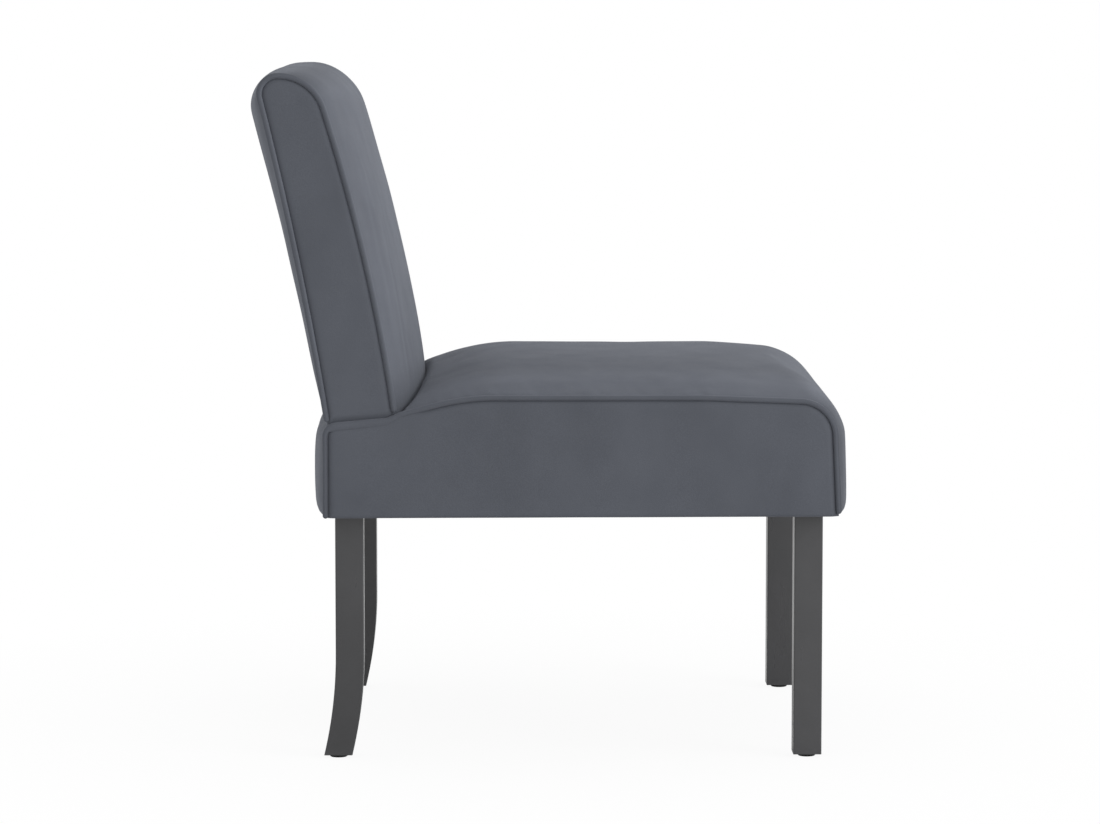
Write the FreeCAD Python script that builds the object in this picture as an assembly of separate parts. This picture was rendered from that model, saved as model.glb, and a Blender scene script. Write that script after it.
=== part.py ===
import FreeCAD, Part
import math
import os

Vector = FreeCAD.Vector

# A slipper chair: a padded back standing on the rear of a padded seat, on four legs.
# Millimetres, +Z up. The chair faces -Y and X runs across it. The origin is on the floor
# under the middle of the chair. "Inset" is a distance inwards from the seam outline, and
# "depth" in the back is a distance forwards from the arc of its rear seam.

# Seat, measured over its piping
seat_width = 540.0
seat_depth = 543.0
seat_front = -304.5
seat_side_height = 388.0

# Legs and glides
leg_side = 30.0
leg_length = 257.0
leg_side_inset = 30.5
leg_edge_radius = 1.5
rear_leg_sweep_height = 111.5
rear_leg_sweep_radius = 465.0
glide_radius = 9.5
glide_height = 3.5
glide_edge_radius = 1.5

# Soft layers
piping_radius = 3.0
cover_thickness = 1.5
dust_cover_thickness = 0.8
wadding_thickness = 6.0
side_pad_thickness = 5.7
front_pad_thickness = 8.0
rear_pad_thickness = 4.0
cover_fold = 10.0
dust_cover_inset = 8.0
soft_gap = 0.3
fit_gap = 0.1
drill_spare = 1.0
post_clearance = 1.0

# Crown of the covers above their seams at mid width
crown_power = 0.6
crown_steps = 5
seat_top_crown = 32.0
seat_front_crown = 22.0
seat_rear_crown = 18.0
back_front_crown = 29.0
back_top_crown = 9.5
back_rear_crown = 9.0

# Seat outline
seat_front_top_radius = 30.0
seat_front_top_extra_radius = 49.0
seat_front_lean_run = 4.3
seat_front_slope_run = 140.0
seat_front_drop = 5.0
seat_front_extra_drop = 6.0
seat_front_foot_radius = 8.0
seat_rear_top_radius = 12.0
seat_rear_foot_radius = 4.0
shelf_front_height = 364.0
shelf_rear_height = 357.5
shelf_corner_radius = 5.0
shelf_side_run = 15.0
crest_drop = 14.5
crest_extra_drop = 4.5
crest_length = 75.0
crest_radius = 12.0
crest_break_radius = 250.0
least_radius = 1.0

# Back outline
back_height = 726.0
back_foot_height = 365.0
back_foot_setback = 4.5
back_foot_thickness = 72.0
rear_lean = 9.0
rear_crown_lean = 1.9
rear_arc_radius = 4003.0
front_lean = 8.1
front_arc_radius = 2034.0
back_rear_corner_radius = 19.0
back_rear_corner_extra_radius = 31.0
back_front_corner_radius = 49.0
back_front_corner_extra_radius = 5.0

# Seat frame
rail_height = 70.0
cross_rail_thickness = 36.0
side_rail_thickness = 22.0
block_leg = 62.0
block_tip = 14.0
block_height = 45.0
dowel_radius = 4.0
dowel_length = 40.0
dowel_spacing = 32.0

# Seat suspension
spring_count = 5
spring_spacing = 95.0
spring_width = 50.0
spring_wire_radius = 1.8
spring_bars = 21
spring_inset = 10.0
clip_thickness = 1.0
clip_width = 14.0
clip_leaf = 17.0
clip_lip = 7.0
clip_nail_radius = 1.1
clip_nail_length = 15.0
nail_head_radius = 2.4
nail_head_height = 1.0
spring_pad_thickness = 6.0

# Back frame
post_depth = 38.0
post_top_inset = 30.0
back_rail_height = 60.0
back_rail_thickness = 22.0
back_rail_setback = 8.0
bottom_rail_lift = 6.5
board_thickness = 2.5
strap_count = 5
strap_height = 42.0
strap_thickness = 1.5
bottom_cloth_thickness = 1.2

# Fixings
leg_bolt_radius = 4.0
leg_bolt_in_leg = 35.0
leg_bolt_in_rail = 24.0
insert_radius = 6.0
insert_length = 16.0
glide_nail_radius = 1.25
glide_nail_length = 18.0
frame_bolt_radius = 3.0
frame_bolt_head_radius = 6.0
frame_bolt_head_height = 4.0
frame_bolt_reach = 34.0
frame_bolt_height = 53.0
frame_dowel_height = 34.0
barrel_nut_radius = 5.0
barrel_nut_length = 20.0
barrel_nut_reach = 27.0

# Heights and planes that follow from the sizes above
leg_top = glide_height + leg_length
seat_bottom = leg_top + dust_cover_thickness
frame_bottom = seat_bottom + cover_thickness
frame_top = frame_bottom + rail_height
seam_half_width = seat_width / 2 - piping_radius
seam_front = seat_front + piping_radius
seam_rear = seat_front + seat_depth - piping_radius
seat_seam_top = seat_side_height - piping_radius
back_seam_top = back_height - piping_radius
edge_clearance = piping_radius + fit_gap
wrap_half_width = seam_half_width - edge_clearance
panel_inner = seam_half_width - cover_thickness
panel_inset = edge_clearance + soft_gap
lining_inset = cover_thickness + soft_gap
foam_inset = lining_inset + wadding_thickness + soft_gap
frame_half_width = panel_inner - 2 * soft_gap - side_pad_thickness
frame_front = seam_front + lining_inset + front_pad_thickness
frame_rear = seam_rear - lining_inset - rear_pad_thickness
front_rail_rear = frame_front + cross_rail_thickness
rear_rail_front = frame_rear - cross_rail_thickness
side_rail_inner = frame_half_width - side_rail_thickness
clip_radius = spring_wire_radius + soft_gap + clip_thickness
back_piping_front_lift = seat_seam_top - crest_drop - shelf_front_height + piping_radius + soft_gap
back_piping_rear_lift = piping_radius + soft_gap
spring_height = frame_top + clip_radius
spring_pad_bottom = spring_height + clip_radius + soft_gap
seat_foam_bottom = spring_pad_bottom + spring_pad_thickness + soft_gap
board_depth = rear_pad_thickness + lining_inset + fit_gap
post_near = board_depth + board_thickness + fit_gap
post_far = post_near + post_depth
strap_far = post_far + strap_thickness
post_top = back_seam_top - post_top_inset
leg_x = seat_width / 2 - leg_side_inset - leg_side / 2
leg_front_y = (frame_front + front_rail_rear) / 2
leg_rear_y = (frame_rear + rear_rail_front) / 2
beyond = 100.0


def upright(y, z, x=0.0):
    """A point given by its place in the side view."""
    return Vector(x, y, z)


def line(start, end):
    return Part.LineSegment(start, end).toShape()


def arc(start, middle, end):
    return Part.Arc(start, middle, end).toShape()


def prism(corners, x_low, x_high):
    """A straight-sided solid across X with this (y, z) outline."""
    points = [upright(y, z, x_low) for y, z in corners]
    face = Part.Face(Part.makePolygon(points + points[:1]))
    return face.extrude(Vector(x_high - x_low, 0, 0))


def extruded(edges, width):
    return Part.Face(Part.Wire(edges)).extrude(Vector(width, 0, 0))


def block(x_low, x_high, y_low, y_high, z_low, z_high):
    size = (x_high - x_low, y_high - y_low, z_high - z_low)
    return Part.makeBox(*size, Vector(x_low, y_low, z_low))


def rod(radius, start, end):
    way = end - start
    return Part.makeCylinder(radius, way.Length, start, way)


def mirrored(shape):
    """The same piece on the other side of the chair."""
    return shape.mirror(Vector(0, 0, 0), Vector(1, 0, 0))


def both_sides(shapes):
    return shapes + [mirrored(shape) for shape in shapes]


def corner_arc(before, corner, after, radius):
    """The start, middle and end of the arc that rounds a corner."""
    to_before = (before - corner).normalize()
    to_after = (after - corner).normalize()
    half = to_before.getAngle(to_after) / 2
    reach = radius / math.tan(half)
    bisector = (to_before + to_after).normalize()
    centre = corner + bisector * (radius / math.sin(half))
    middle = centre - bisector * radius
    return corner + to_before * reach, middle, corner + to_after * reach


def rounded_path(points, radii):
    """Edges from the first point to the last, with each corner between them rounded."""
    edges = []
    start = points[0]
    for before, corner, after, radius in zip(points, points[1:], points[2:], radii):
        first, middle, last = corner_arc(before, corner, after, radius)
        edges.append(line(start, first))
        edges.append(arc(first, middle, last))
        start = last
    edges.append(line(start, points[-1]))
    return edges


class LeaningArc:
    """An upright arc in the side view that leans back more towards its top."""

    def __init__(self, foot_y, lean, radius):
        angle = math.radians(lean)
        self.centre_y = foot_y + radius * math.cos(angle)
        self.centre_z = back_foot_height - radius * math.sin(angle)
        self.radius = radius

    def y_at(self, height, forward=0.0):
        reach = self.radius + forward
        return self.centre_y - math.sqrt(reach ** 2 - (height - self.centre_z) ** 2)

    def toward(self, y, z, forward):
        """The point of the shifted arc that faces this place."""
        reach = self.radius + forward
        away = math.hypot(y - self.centre_y, z - self.centre_z)
        share = reach / away
        return (self.centre_y + (y - self.centre_y) * share,
                self.centre_z + (z - self.centre_z) * share)

    def edge(self, z_low, z_high, forward, x):
        """The stretch of the shifted arc between two heights."""
        heights = (z_low, (z_low + z_high) / 2, z_high)
        return arc(*[upright(self.y_at(z, forward), z, x) for z in heights])


back_foot_rear = seam_rear + piping_radius - back_foot_setback
rear_arc = LeaningArc(back_foot_rear, rear_lean, rear_arc_radius)
front_arc = LeaningArc(back_foot_rear - back_foot_thickness, front_lean, front_arc_radius)


def crown_share(x):
    """How much of the crown a section at x has: none at the seam, all at mid width."""
    across = min(1.0, abs(x) / wrap_half_width)
    return (1.0 - across ** 2) ** crown_power


def shelf_height(y):
    """Height of the ledge at the rear of the seat that carries the back."""
    shelf_front = front_arc.y_at(shelf_front_height)
    slope = (shelf_front_height - shelf_rear_height) / (seam_rear - shelf_front)
    return shelf_front_height - slope * (y - shelf_front)


def seat_corners(x, inset):
    """Corners and radii of the seat's outline in the section at x."""
    share = crown_share(x)
    front = seam_front + inset - seat_front_crown * share
    rear = seam_rear - inset + seat_rear_crown * share
    top = seat_seam_top - inset + seat_top_crown * share
    crest = top - crest_drop - crest_extra_drop * share
    front_top = top - seat_front_drop - seat_front_extra_drop * share
    front_radius = seat_front_top_radius - inset + seat_front_top_extra_radius * share ** 2
    room = soft_gap + 2 * piping_radius * (1 - share) + inset
    shelf_y = front_arc.y_at(shelf_front_height, back_front_crown * share) - room
    shelf_y += shelf_side_run * (1 - share) ** 2
    crest_y = front_arc.y_at(crest, back_front_crown * share) - room
    foot = seat_bottom + (cover_thickness if inset > 0 else 0.0)
    corners = [
        (rear, foot, max(least_radius, seat_rear_foot_radius - inset)),
        (rear, shelf_height(rear) - inset, seat_rear_top_radius - inset),
        (shelf_y, shelf_height(shelf_y) - inset, shelf_corner_radius + inset),
        (crest_y, crest, crest_radius - inset),
        (crest_y - crest_length, top, crest_break_radius),
        (front + seat_front_slope_run, top, crest_break_radius),
        (front + seat_front_lean_run, front_top, front_radius),
        (front, foot, max(least_radius, seat_front_foot_radius - inset)),
    ]
    points = [upright(y, z, x) for y, z, radius in corners]
    return points, [radius for y, z, radius in corners]


def seat_loop(x, inset):
    """The seat's closed outline in the section at x."""
    points, radii = seat_corners(x, inset)
    middle = (points[0] + points[-1]) * 0.5
    return Part.Wire(rounded_path([middle] + points + [middle], radii))


def back_loop_edges(x, inset, front_lift=0.0, rear_lift=0.0):
    """The back's outline in the section at x, from its front foot over the top to its rear foot."""
    share = crown_share(x)
    rear_side = LeaningArc(back_foot_rear, rear_lean + rear_crown_lean * share, rear_arc_radius)
    near = inset - back_rear_crown * share
    far = back_front_crown * share - inset
    top = back_seam_top - inset + back_top_crown * share
    front_radius = back_front_corner_radius - inset + back_front_corner_extra_radius * share
    rear_radius = back_rear_corner_radius - inset + back_rear_corner_extra_radius * share
    front_foot = shelf_height(front_arc.y_at(shelf_front_height, far)) + soft_gap + front_lift
    rear_foot = shelf_height(rear_side.y_at(shelf_rear_height, near)) + soft_gap + rear_lift
    front_round = (front_arc.y_at(top - front_radius, far - front_radius), top - front_radius)
    rear_round = (rear_side.y_at(top - rear_radius, near + rear_radius), top - rear_radius)
    front_end = front_arc.toward(*front_round, far)
    rear_end = rear_side.toward(*rear_round, near)
    front_turn = rounding_middle(front_round, front_end, front_radius)
    rear_turn = rounding_middle(rear_round, rear_end, rear_radius)
    return [
        front_arc.edge(front_foot, front_end[1], far, x),
        arc(upright(*front_end, x), upright(*front_turn, x), upright(front_round[0], top, x)),
        line(upright(front_round[0], top, x), upright(rear_round[0], top, x)),
        arc(upright(rear_round[0], top, x), upright(*rear_turn, x), upright(*rear_end, x)),
        rear_side.edge(rear_end[1], rear_foot, near, x),
    ]


def rounding_middle(centre, end, radius):
    """Middle of the arc about centre from end to the point straight above the centre."""
    side_y = (end[0] - centre[0]) / radius
    side_z = (end[1] - centre[1]) / radius + 1.0
    size = math.hypot(side_y, side_z)
    return centre[0] + radius * side_y / size, centre[1] + radius * side_z / size


def back_loop(x, inset):
    """The back's closed outline in the section at x."""
    edges = back_loop_edges(x, inset)
    foot = line(edges[-1].Vertexes[-1].Point, edges[0].Vertexes[0].Point)
    return Part.Wire(edges + [foot])


def crowned(loop, inset):
    """A solid through the sections of a crowned cushion, closer together near its sides."""
    angles = [math.pi / 2 * step / crown_steps for step in range(-crown_steps, crown_steps + 1)]
    loops = [loop(wrap_half_width * math.sin(angle), inset) for angle in angles]
    return Part.makeLoft(loops, True, False)


def across_back(x_low, x_high, z_low, z_high, near, far):
    """A piece that follows the back's curve, between two heights and two depths."""
    front = rear_arc.edge(z_low, z_high, far, x_low)
    rear = rear_arc.edge(z_high, z_low, near, x_low)
    top = line(front.Vertexes[-1].Point, rear.Vertexes[0].Point)
    foot = line(rear.Vertexes[-1].Point, front.Vertexes[0].Point)
    return extruded([front, top, rear, foot], x_high - x_low)


def tube(edges, radius):
    """A round tube along a path of tangent lines and arcs."""
    path = Part.Wire(edges)
    first = edges[0]
    start = first.valueAt(first.FirstParameter)
    way = first.tangentAt(first.FirstParameter)
    ring = Part.Wire(Part.makeCircle(radius, start, way))
    return path.makePipeShell([ring], True, False)


def band(x_low, x_high, inset):
    """The seat's side outline as a plate between two planes."""
    plate = Part.Face(seat_loop(seam_half_width, inset)).extrude(Vector(x_high - x_low, 0, 0))
    plate.translate(Vector(x_low - seam_half_width, 0, 0))
    return plate


def seat_side_room():
    """The seat's side with its piping, which the back's side pieces stay clear of."""
    return band(frame_half_width, seat_width, -piping_radius - soft_gap)


def back_band(x_low, x_high, inset):
    """The back's side outline as a plate between two planes."""
    plate = Part.Face(back_loop(seam_half_width, inset)).extrude(Vector(x_high - x_low, 0, 0))
    plate.translate(Vector(x_low - seam_half_width, 0, 0))
    return plate.cut(seat_side_room())


def post_hole():
    """The room that one post needs on its way down through the seat."""
    low = rear_arc.y_at(back_foot_height, post_far) - post_clearance
    high = rear_arc.y_at(back_foot_height, post_near) + post_clearance
    return block(side_rail_inner - post_clearance, frame_half_width + fit_gap, low, high,
                 frame_bottom - beyond, back_foot_height + beyond)


def seat_frame():
    """The front, rear and right-hand rails before they are drilled."""
    front = block(-frame_half_width, frame_half_width, frame_front, front_rail_rear,
                  frame_bottom, frame_top)
    rear = block(-side_rail_inner, side_rail_inner, rear_rail_front, frame_rear,
                 frame_bottom, frame_top)
    post_front = rear_arc.y_at(back_foot_height, post_far)
    side = block(side_rail_inner, frame_half_width, front_rail_rear, post_front,
                 frame_bottom, frame_top)
    return front, rear, side


def corner_block(y, towards):
    """A glued block in one right-hand corner of the seat frame, with its points cut off."""
    x = side_rail_inner
    corners = [(x, y), (x, y + towards * block_leg), (x - block_tip, y + towards * block_leg),
               (x - block_leg, y + towards * block_tip), (x - block_leg, y)]
    points = [Vector(px, py, frame_bottom) for px, py in corners]
    face = Part.Face(Part.makePolygon(points + points[:1]))
    return face.extrude(Vector(0, 0, block_height))


def frame_dowel_lines():
    """Ends of the right-hand dowels of the seat frame."""
    side_x = side_rail_inner + side_rail_thickness / 2
    post_front = rear_arc.y_at(back_foot_height, post_far)
    lines = []
    for y in (front_rail_rear, post_front):
        for lift in (-dowel_spacing / 2, dowel_spacing / 2):
            z = frame_bottom + rail_height / 2 + lift
            lines.append((Vector(side_x, y - dowel_length / 2, z),
                          Vector(side_x, y + dowel_length / 2, z)))
    z = frame_bottom + frame_dowel_height
    lines.append((Vector(side_rail_inner - dowel_length / 2, leg_rear_y, z),
                  Vector(side_rail_inner + dowel_length / 2, leg_rear_y, z)))
    return lines


def back_rail_levels():
    """The lower and upper height of the back's bottom rail and of its top rail."""
    low = shelf_front_height + bottom_rail_lift
    high = post_top - back_rail_height
    return {"back_bottom_rail": (low, low + back_rail_height), "back_top_rail": (high, post_top)}


def back_dowel_lines():
    """Ends of the right-hand dowels between the back's rails and its post."""
    depth = post_near + back_rail_setback + back_rail_thickness / 2
    lines = []
    for low, high in back_rail_levels().values():
        for lift in (-dowel_spacing / 2, dowel_spacing / 2):
            z = (low + high) / 2 + lift
            y = rear_arc.y_at(z, depth)
            reach = side_rail_thickness - 2 * piping_radius
            lines.append((Vector(side_rail_inner - reach, y, z),
                          Vector(side_rail_inner + reach, y, z)))
    return lines


def rods(lines, radius):
    return [rod(radius, start, end) for start, end in lines]


def drilled(shape, cutters):
    return shape.cut(Part.makeCompound(cutters))


def frame_bolt(gap):
    """The bolt that holds the rear rail to the right-hand post; gap widens it for its hole."""
    z = frame_bottom + frame_bolt_height
    head_x = frame_half_width - frame_bolt_head_height
    end = Vector(side_rail_inner - frame_bolt_reach, leg_rear_y, z)
    shank = rod(frame_bolt_radius + gap, end, Vector(head_x, leg_rear_y, z))
    head_start = Vector(head_x, leg_rear_y, z)
    head = rod(frame_bolt_head_radius + gap, head_start, Vector(frame_half_width, leg_rear_y, z))
    return shank.fuse(head)


def barrel_nut(gap, top):
    """The cross nut in the rear rail; its hole runs up to the rail's top."""
    x = side_rail_inner - barrel_nut_reach
    low = frame_bottom + frame_bolt_height - barrel_nut_length / 2
    return rod(barrel_nut_radius + gap, Vector(x, leg_rear_y, low), Vector(x, leg_rear_y, top))


def leg_centres():
    """Name and place of each leg's upper end."""
    return {
        "front_left": (-leg_x, leg_front_y),
        "front_right": (leg_x, leg_front_y),
        "rear_left": (-leg_x, leg_rear_y),
        "rear_right": (leg_x, leg_rear_y),
    }


def rear_leg_shift(z):
    """How far the rear legs have swept back at this height."""
    drop = max(0.0, rear_leg_sweep_height - z)
    return rear_leg_sweep_radius - math.sqrt(rear_leg_sweep_radius ** 2 - drop ** 2)


def foot_y(name, y):
    """Place of a leg's lower end."""
    return y + (rear_leg_shift(glide_height) if name.startswith("rear") else 0.0)


def straight_leg(x, y):
    half = leg_side / 2
    leg = block(x - half, x + half, y - half, y + half, glide_height, leg_top)
    upright_edges = [edge for edge in leg.Edges
                     if abs(edge.Vertexes[0].Z - edge.Vertexes[-1].Z) > leg_side]
    return leg.makeFillet(leg_edge_radius, upright_edges)


def swept_leg(x, y):
    """A leg that is straight above and curves back towards the floor."""
    half = leg_side / 2

    def side(offset):
        heights = (glide_height, (glide_height + rear_leg_sweep_height) / 2,
                   rear_leg_sweep_height)
        places = [upright(y + offset + rear_leg_shift(z), z, x - half) for z in heights]
        return arc(*places), places[0], places[-1], upright(y + offset, leg_top, x - half)

    front, front_foot, front_bend, front_top = side(-half)
    rear, rear_foot, rear_bend, rear_top = side(half)
    edges = [line(rear_foot, front_foot), front, line(front_bend, front_top),
             line(front_top, rear_top), line(rear_top, rear_bend), rear]
    leg = extruded(Part.sortEdges(edges)[0], leg_side)
    long_edges = [edge for edge in leg.Edges
                  if abs(edge.Vertexes[0].Z - edge.Vertexes[-1].Z) > leg_side]
    return leg.makeFillet(leg_edge_radius, long_edges)


def legs():
    made = {}
    for name, (x, y) in leg_centres().items():
        leg = swept_leg(x, y) if name.startswith("rear") else straight_leg(x, y)
        bolt_hole = rod(leg_bolt_radius + fit_gap, Vector(x, y, leg_top - leg_bolt_in_leg - drill_spare),
                        Vector(x, y, leg_top))
        foot = foot_y(name, y)
        nail_hole = rod(glide_nail_radius + fit_gap, Vector(x, foot, glide_height),
                        Vector(x, foot, glide_height + glide_nail_length))
        made["leg_" + name] = drilled(leg, [bolt_hole, nail_hole])
    return made


def glides_and_nails():
    """Round glides under the legs and the nails that hold them."""
    glides = []
    nails = []
    for name, (x, y) in leg_centres().items():
        foot = foot_y(name, y)
        glide = Part.makeCylinder(glide_radius, glide_height, Vector(x, foot, 0))
        floor_edge = [edge for edge in glide.Edges
                      if max(vertex.Z for vertex in edge.Vertexes) < fit_gap]
        glide = glide.makeFillet(glide_edge_radius, floor_edge)
        low = Vector(x, foot, glide_height / 2)
        hole = rod(glide_nail_radius + fit_gap, low, Vector(x, foot, glide_height))
        glides.append(glide.cut(hole))
        nails.append(rod(glide_nail_radius, low,
                         Vector(x, foot, glide_height + glide_nail_length - drill_spare)))
    return {"leg_glides": glides, "glide_nails": nails}


def leg_bolts():
    return [rod(leg_bolt_radius, Vector(x, y, leg_top - leg_bolt_in_leg),
                Vector(x, y, frame_bottom + leg_bolt_in_rail))
            for x, y in leg_centres().values()]


def leg_inserts():
    inserts = []
    for x, y in leg_centres().values():
        low = Vector(x, y, frame_bottom)
        high = Vector(x, y, frame_bottom + insert_length)
        body = rod(insert_radius, low, high)
        inserts.append(body.cut(rod(leg_bolt_radius + fit_gap, low, high)))
    return inserts


def leg_holes():
    """Holes in the rails for the inserts and the ends of the leg bolts."""
    holes = []
    for x, y in leg_centres().values():
        low = Vector(x, y, frame_bottom)
        holes.append(rod(insert_radius + fit_gap, low, Vector(x, y, frame_bottom + insert_length)))
        holes.append(rod(leg_bolt_radius + fit_gap, low,
                         Vector(x, y, frame_bottom + leg_bolt_in_rail + drill_spare)))
    return holes


def spring_ends():
    """Where the first and last bars of the springs lie, and the way to the seat's middle."""
    return ((front_rail_rear - spring_inset, 1), (rear_rail_front + spring_inset, -1))


def zigzag_spring():
    """One flat wire spring from the front rail to the rear rail, at mid width."""
    first = spring_ends()[0][0]
    last = spring_ends()[1][0]
    pitch = (last - first) / (spring_bars - 1)
    turn = pitch / 2
    half_bar = spring_width / 2 - spring_wire_radius - turn
    edges = []
    for bar in range(spring_bars):
        y = first + pitch * bar
        side = 1 if bar % 2 == 0 else -1
        end = Vector(side * half_bar, y, spring_height)
        edges.append(line(Vector(-side * half_bar, y, spring_height), end))
        if bar < spring_bars - 1:
            middle = Vector(side * (half_bar + turn), y + turn, spring_height)
            edges.append(arc(end, middle, Vector(side * half_bar, y + pitch, spring_height)))
    return tube(edges, spring_wire_radius)


def spring_places():
    middle = (spring_count - 1) / 2
    return [(number - middle) * spring_spacing for number in range(spring_count)]


def moved(shape, x):
    copy = shape.copy()
    copy.translate(Vector(x, 0, 0))
    return copy


def spring_clip(y, inward):
    """A bent strip on a rail that holds the end bar of one spring."""
    outer = clip_radius
    inner = clip_radius - clip_thickness
    z = spring_height

    def point(reach, height):
        return upright(y + inward * reach, z + height, -clip_width / 2)

    edges = [
        line(point(-clip_leaf, -outer), point(0, -outer)),
        arc(point(0, -outer), point(outer, 0), point(0, outer)),
        line(point(0, outer), point(-clip_lip, outer)),
        line(point(-clip_lip, outer), point(-clip_lip, inner)),
        line(point(-clip_lip, inner), point(0, inner)),
        arc(point(0, inner), point(inner, 0), point(0, -inner)),
        line(point(0, -inner), point(-clip_leaf, -inner)),
        line(point(-clip_leaf, -inner), point(-clip_leaf, -outer)),
    ]
    return extruded(edges, clip_width)


def clip_nail(y, inward, gap):
    """The nail through a clip's leaf into its rail."""
    nail_y = y - inward * (clip_leaf + clip_lip) / 2
    leaf_top = frame_top + clip_thickness
    low = Vector(0, nail_y, frame_top - clip_nail_length)
    shank = rod(clip_nail_radius + gap, low, Vector(0, nail_y, leaf_top))
    head = rod(nail_head_radius, Vector(0, nail_y, leaf_top),
               Vector(0, nail_y, leaf_top + nail_head_height))
    return shank if gap else shank.fuse(head)


def suspension():
    """Springs, clips and nails, and the nails' holes."""
    spring = zigzag_spring()
    springs = [moved(spring, x) for x in spring_places()]
    clips = []
    nails = []
    holes = []
    for y, inward in spring_ends():
        hole = clip_nail(y, inward, fit_gap)
        clip = spring_clip(y, inward).cut(hole)
        nail = clip_nail(y, inward, 0.0)
        clips += [moved(clip, x) for x in spring_places()]
        nails += [moved(nail, x) for x in spring_places()]
        holes += [moved(hole, x) for x in spring_places()]
    return springs, clips, nails, holes


def seat_wood():
    """Every wooden piece of the seat, with its holes, and the fixings in it."""
    front, rear, side = seat_frame()
    springs, clips, nails, nail_holes = suspension()
    dowels = both_sides(rods(frame_dowel_lines(), dowel_radius))
    dowel_holes = both_sides(rods(frame_dowel_lines(), dowel_radius + fit_gap))
    bolt_holes = both_sides([frame_bolt(fit_gap), barrel_nut(fit_gap, frame_top)])
    nut_top = frame_bottom + frame_bolt_height + barrel_nut_length / 2
    nut = barrel_nut(0.0, nut_top).cut(frame_bolt(fit_gap))
    holes = dowel_holes + bolt_holes + leg_holes() + nail_holes
    front_block = corner_block(front_rail_rear, 1)
    rear_block = corner_block(rear_rail_front, -1)
    return {
        "seat_front_rail": [drilled(front, holes)],
        "seat_rear_rail": [drilled(rear, holes)],
        "seat_right_rail": [drilled(side, holes)],
        "seat_left_rail": [drilled(mirrored(side), holes)],
        "corner_block_front_right": [front_block],
        "corner_block_front_left": [mirrored(front_block)],
        "corner_block_rear_right": [rear_block],
        "corner_block_rear_left": [mirrored(rear_block)],
        "frame_dowels": dowels,
        "frame_bolts": both_sides([frame_bolt(0.0)]),
        "frame_bolt_nuts": both_sides([nut]),
        "seat_springs": springs,
        "spring_clips": clips,
        "clip_nails": nails,
    }


def back_post():
    """The right-hand post: curved in the back, straight where it runs down into the seat."""
    upper = across_back(side_rail_inner, frame_half_width, back_foot_height, post_top,
                        post_near, post_far)
    front_y = rear_arc.y_at(back_foot_height, post_far)
    rear_y = rear_arc.y_at(back_foot_height, post_near)
    lower = block(side_rail_inner, frame_half_width, front_y, rear_y,
                  frame_bottom, back_foot_height)
    holes = rods(frame_dowel_lines() + back_dowel_lines(), dowel_radius + fit_gap)
    return drilled(upper.fuse(lower).removeSplitter(), holes + [frame_bolt(fit_gap)])


def back_wood():
    """Posts, rails, board and webbing of the back."""
    post = back_post()
    dowels = both_sides(rods(back_dowel_lines(), dowel_radius))
    holes = both_sides(rods(back_dowel_lines(), dowel_radius + fit_gap))
    rail_near = post_near + back_rail_setback
    made = {
        "back_post_right": [post],
        "back_post_left": [mirrored(post)],
        "back_dowels": dowels,
    }
    for name, (low, high) in back_rail_levels().items():
        rail = across_back(-side_rail_inner, side_rail_inner, low, high,
                           rail_near, rail_near + back_rail_thickness)
        made[name] = [drilled(rail, holes)]
    board_low = shelf_front_height + bottom_rail_lift
    made["back_board"] = [across_back(-frame_half_width, frame_half_width, board_low, post_top,
                                      board_depth, board_depth + board_thickness)]
    pitch = (post_top - board_low - strap_height) / (strap_count - 1)
    made["back_webbing"] = [
        across_back(-frame_half_width, frame_half_width, board_low + pitch * number,
                    board_low + pitch * number + strap_height, post_far, strap_far)
        for number in range(strap_count)]
    return made


def seat_soft():
    """Filling, covers, side panels and piping of the seat."""
    outer = crowned(seat_loop, 0.0)
    cover_inside = crowned(seat_loop, cover_thickness)
    lining = crowned(seat_loop, lining_inset)
    wadding_inside = crowned(seat_loop, lining_inset + wadding_thickness)
    core = crowned(seat_loop, foam_inset)
    below = block(-seat_width, seat_width, seat_front - beyond, seam_rear + beyond,
                  seat_bottom - beyond, seat_foam_bottom)
    post_holes = both_sides([post_hole()])
    open_bottom = block(-seat_width, seat_width, frame_front + cover_fold,
                        frame_rear - cover_fold, seat_bottom - beyond, frame_bottom + fit_gap)
    between_pads = block(-frame_half_width, frame_half_width, seat_front - beyond,
                         seam_rear + beyond, seat_bottom, seat_side_height + beyond)
    cover = outer.cut(cover_inside).cut(open_bottom)
    wadding = lining.cut(wadding_inside).cut(below).common(between_pads)
    foam = core.cut(below).common(between_pads)
    edge_top = block(-seat_width, seat_width, seat_front - beyond, seam_rear + beyond,
                     seat_foam_bottom - fit_gap, seat_side_height + beyond)
    low_ring = lining.cut(edge_top).common(between_pads)
    behind = block(-seat_width, seat_width, frame_front - fit_gap, seam_rear + beyond,
                   seat_bottom, seat_side_height)
    ahead = block(-seat_width, seat_width, seat_front - beyond, frame_rear + fit_gap,
                  seat_bottom, seat_side_height)
    pad_low = panel_inner - soft_gap - side_pad_thickness
    side_pad = band(pad_low, panel_inner - soft_gap, panel_inset + soft_gap)
    panel = band(panel_inner, seam_half_width, panel_inset)
    spring_pad = block(-frame_half_width, frame_half_width, frame_front, frame_rear,
                       spring_pad_bottom, spring_pad_bottom + spring_pad_thickness)
    points, radii = seat_corners(seam_half_width, 0.0)
    piping = tube(rounded_path(points, radii[1:-1]), piping_radius)
    return {
        "seat_cover": [drilled(cover, post_holes)],
        "seat_wadding": [drilled(wadding, post_holes)],
        "seat_foam": [drilled(foam, post_holes)],
        "seat_front_pad": [low_ring.cut(behind)],
        "seat_rear_pad": [low_ring.cut(ahead)],
        "seat_right_pad": [side_pad],
        "seat_left_pad": [mirrored(side_pad)],
        "seat_right_panel": [panel],
        "seat_left_panel": [mirrored(panel)],
        "seat_right_piping": [piping],
        "seat_left_piping": [mirrored(piping)],
        "spring_pad": [drilled(spring_pad, post_holes)],
    }


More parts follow.
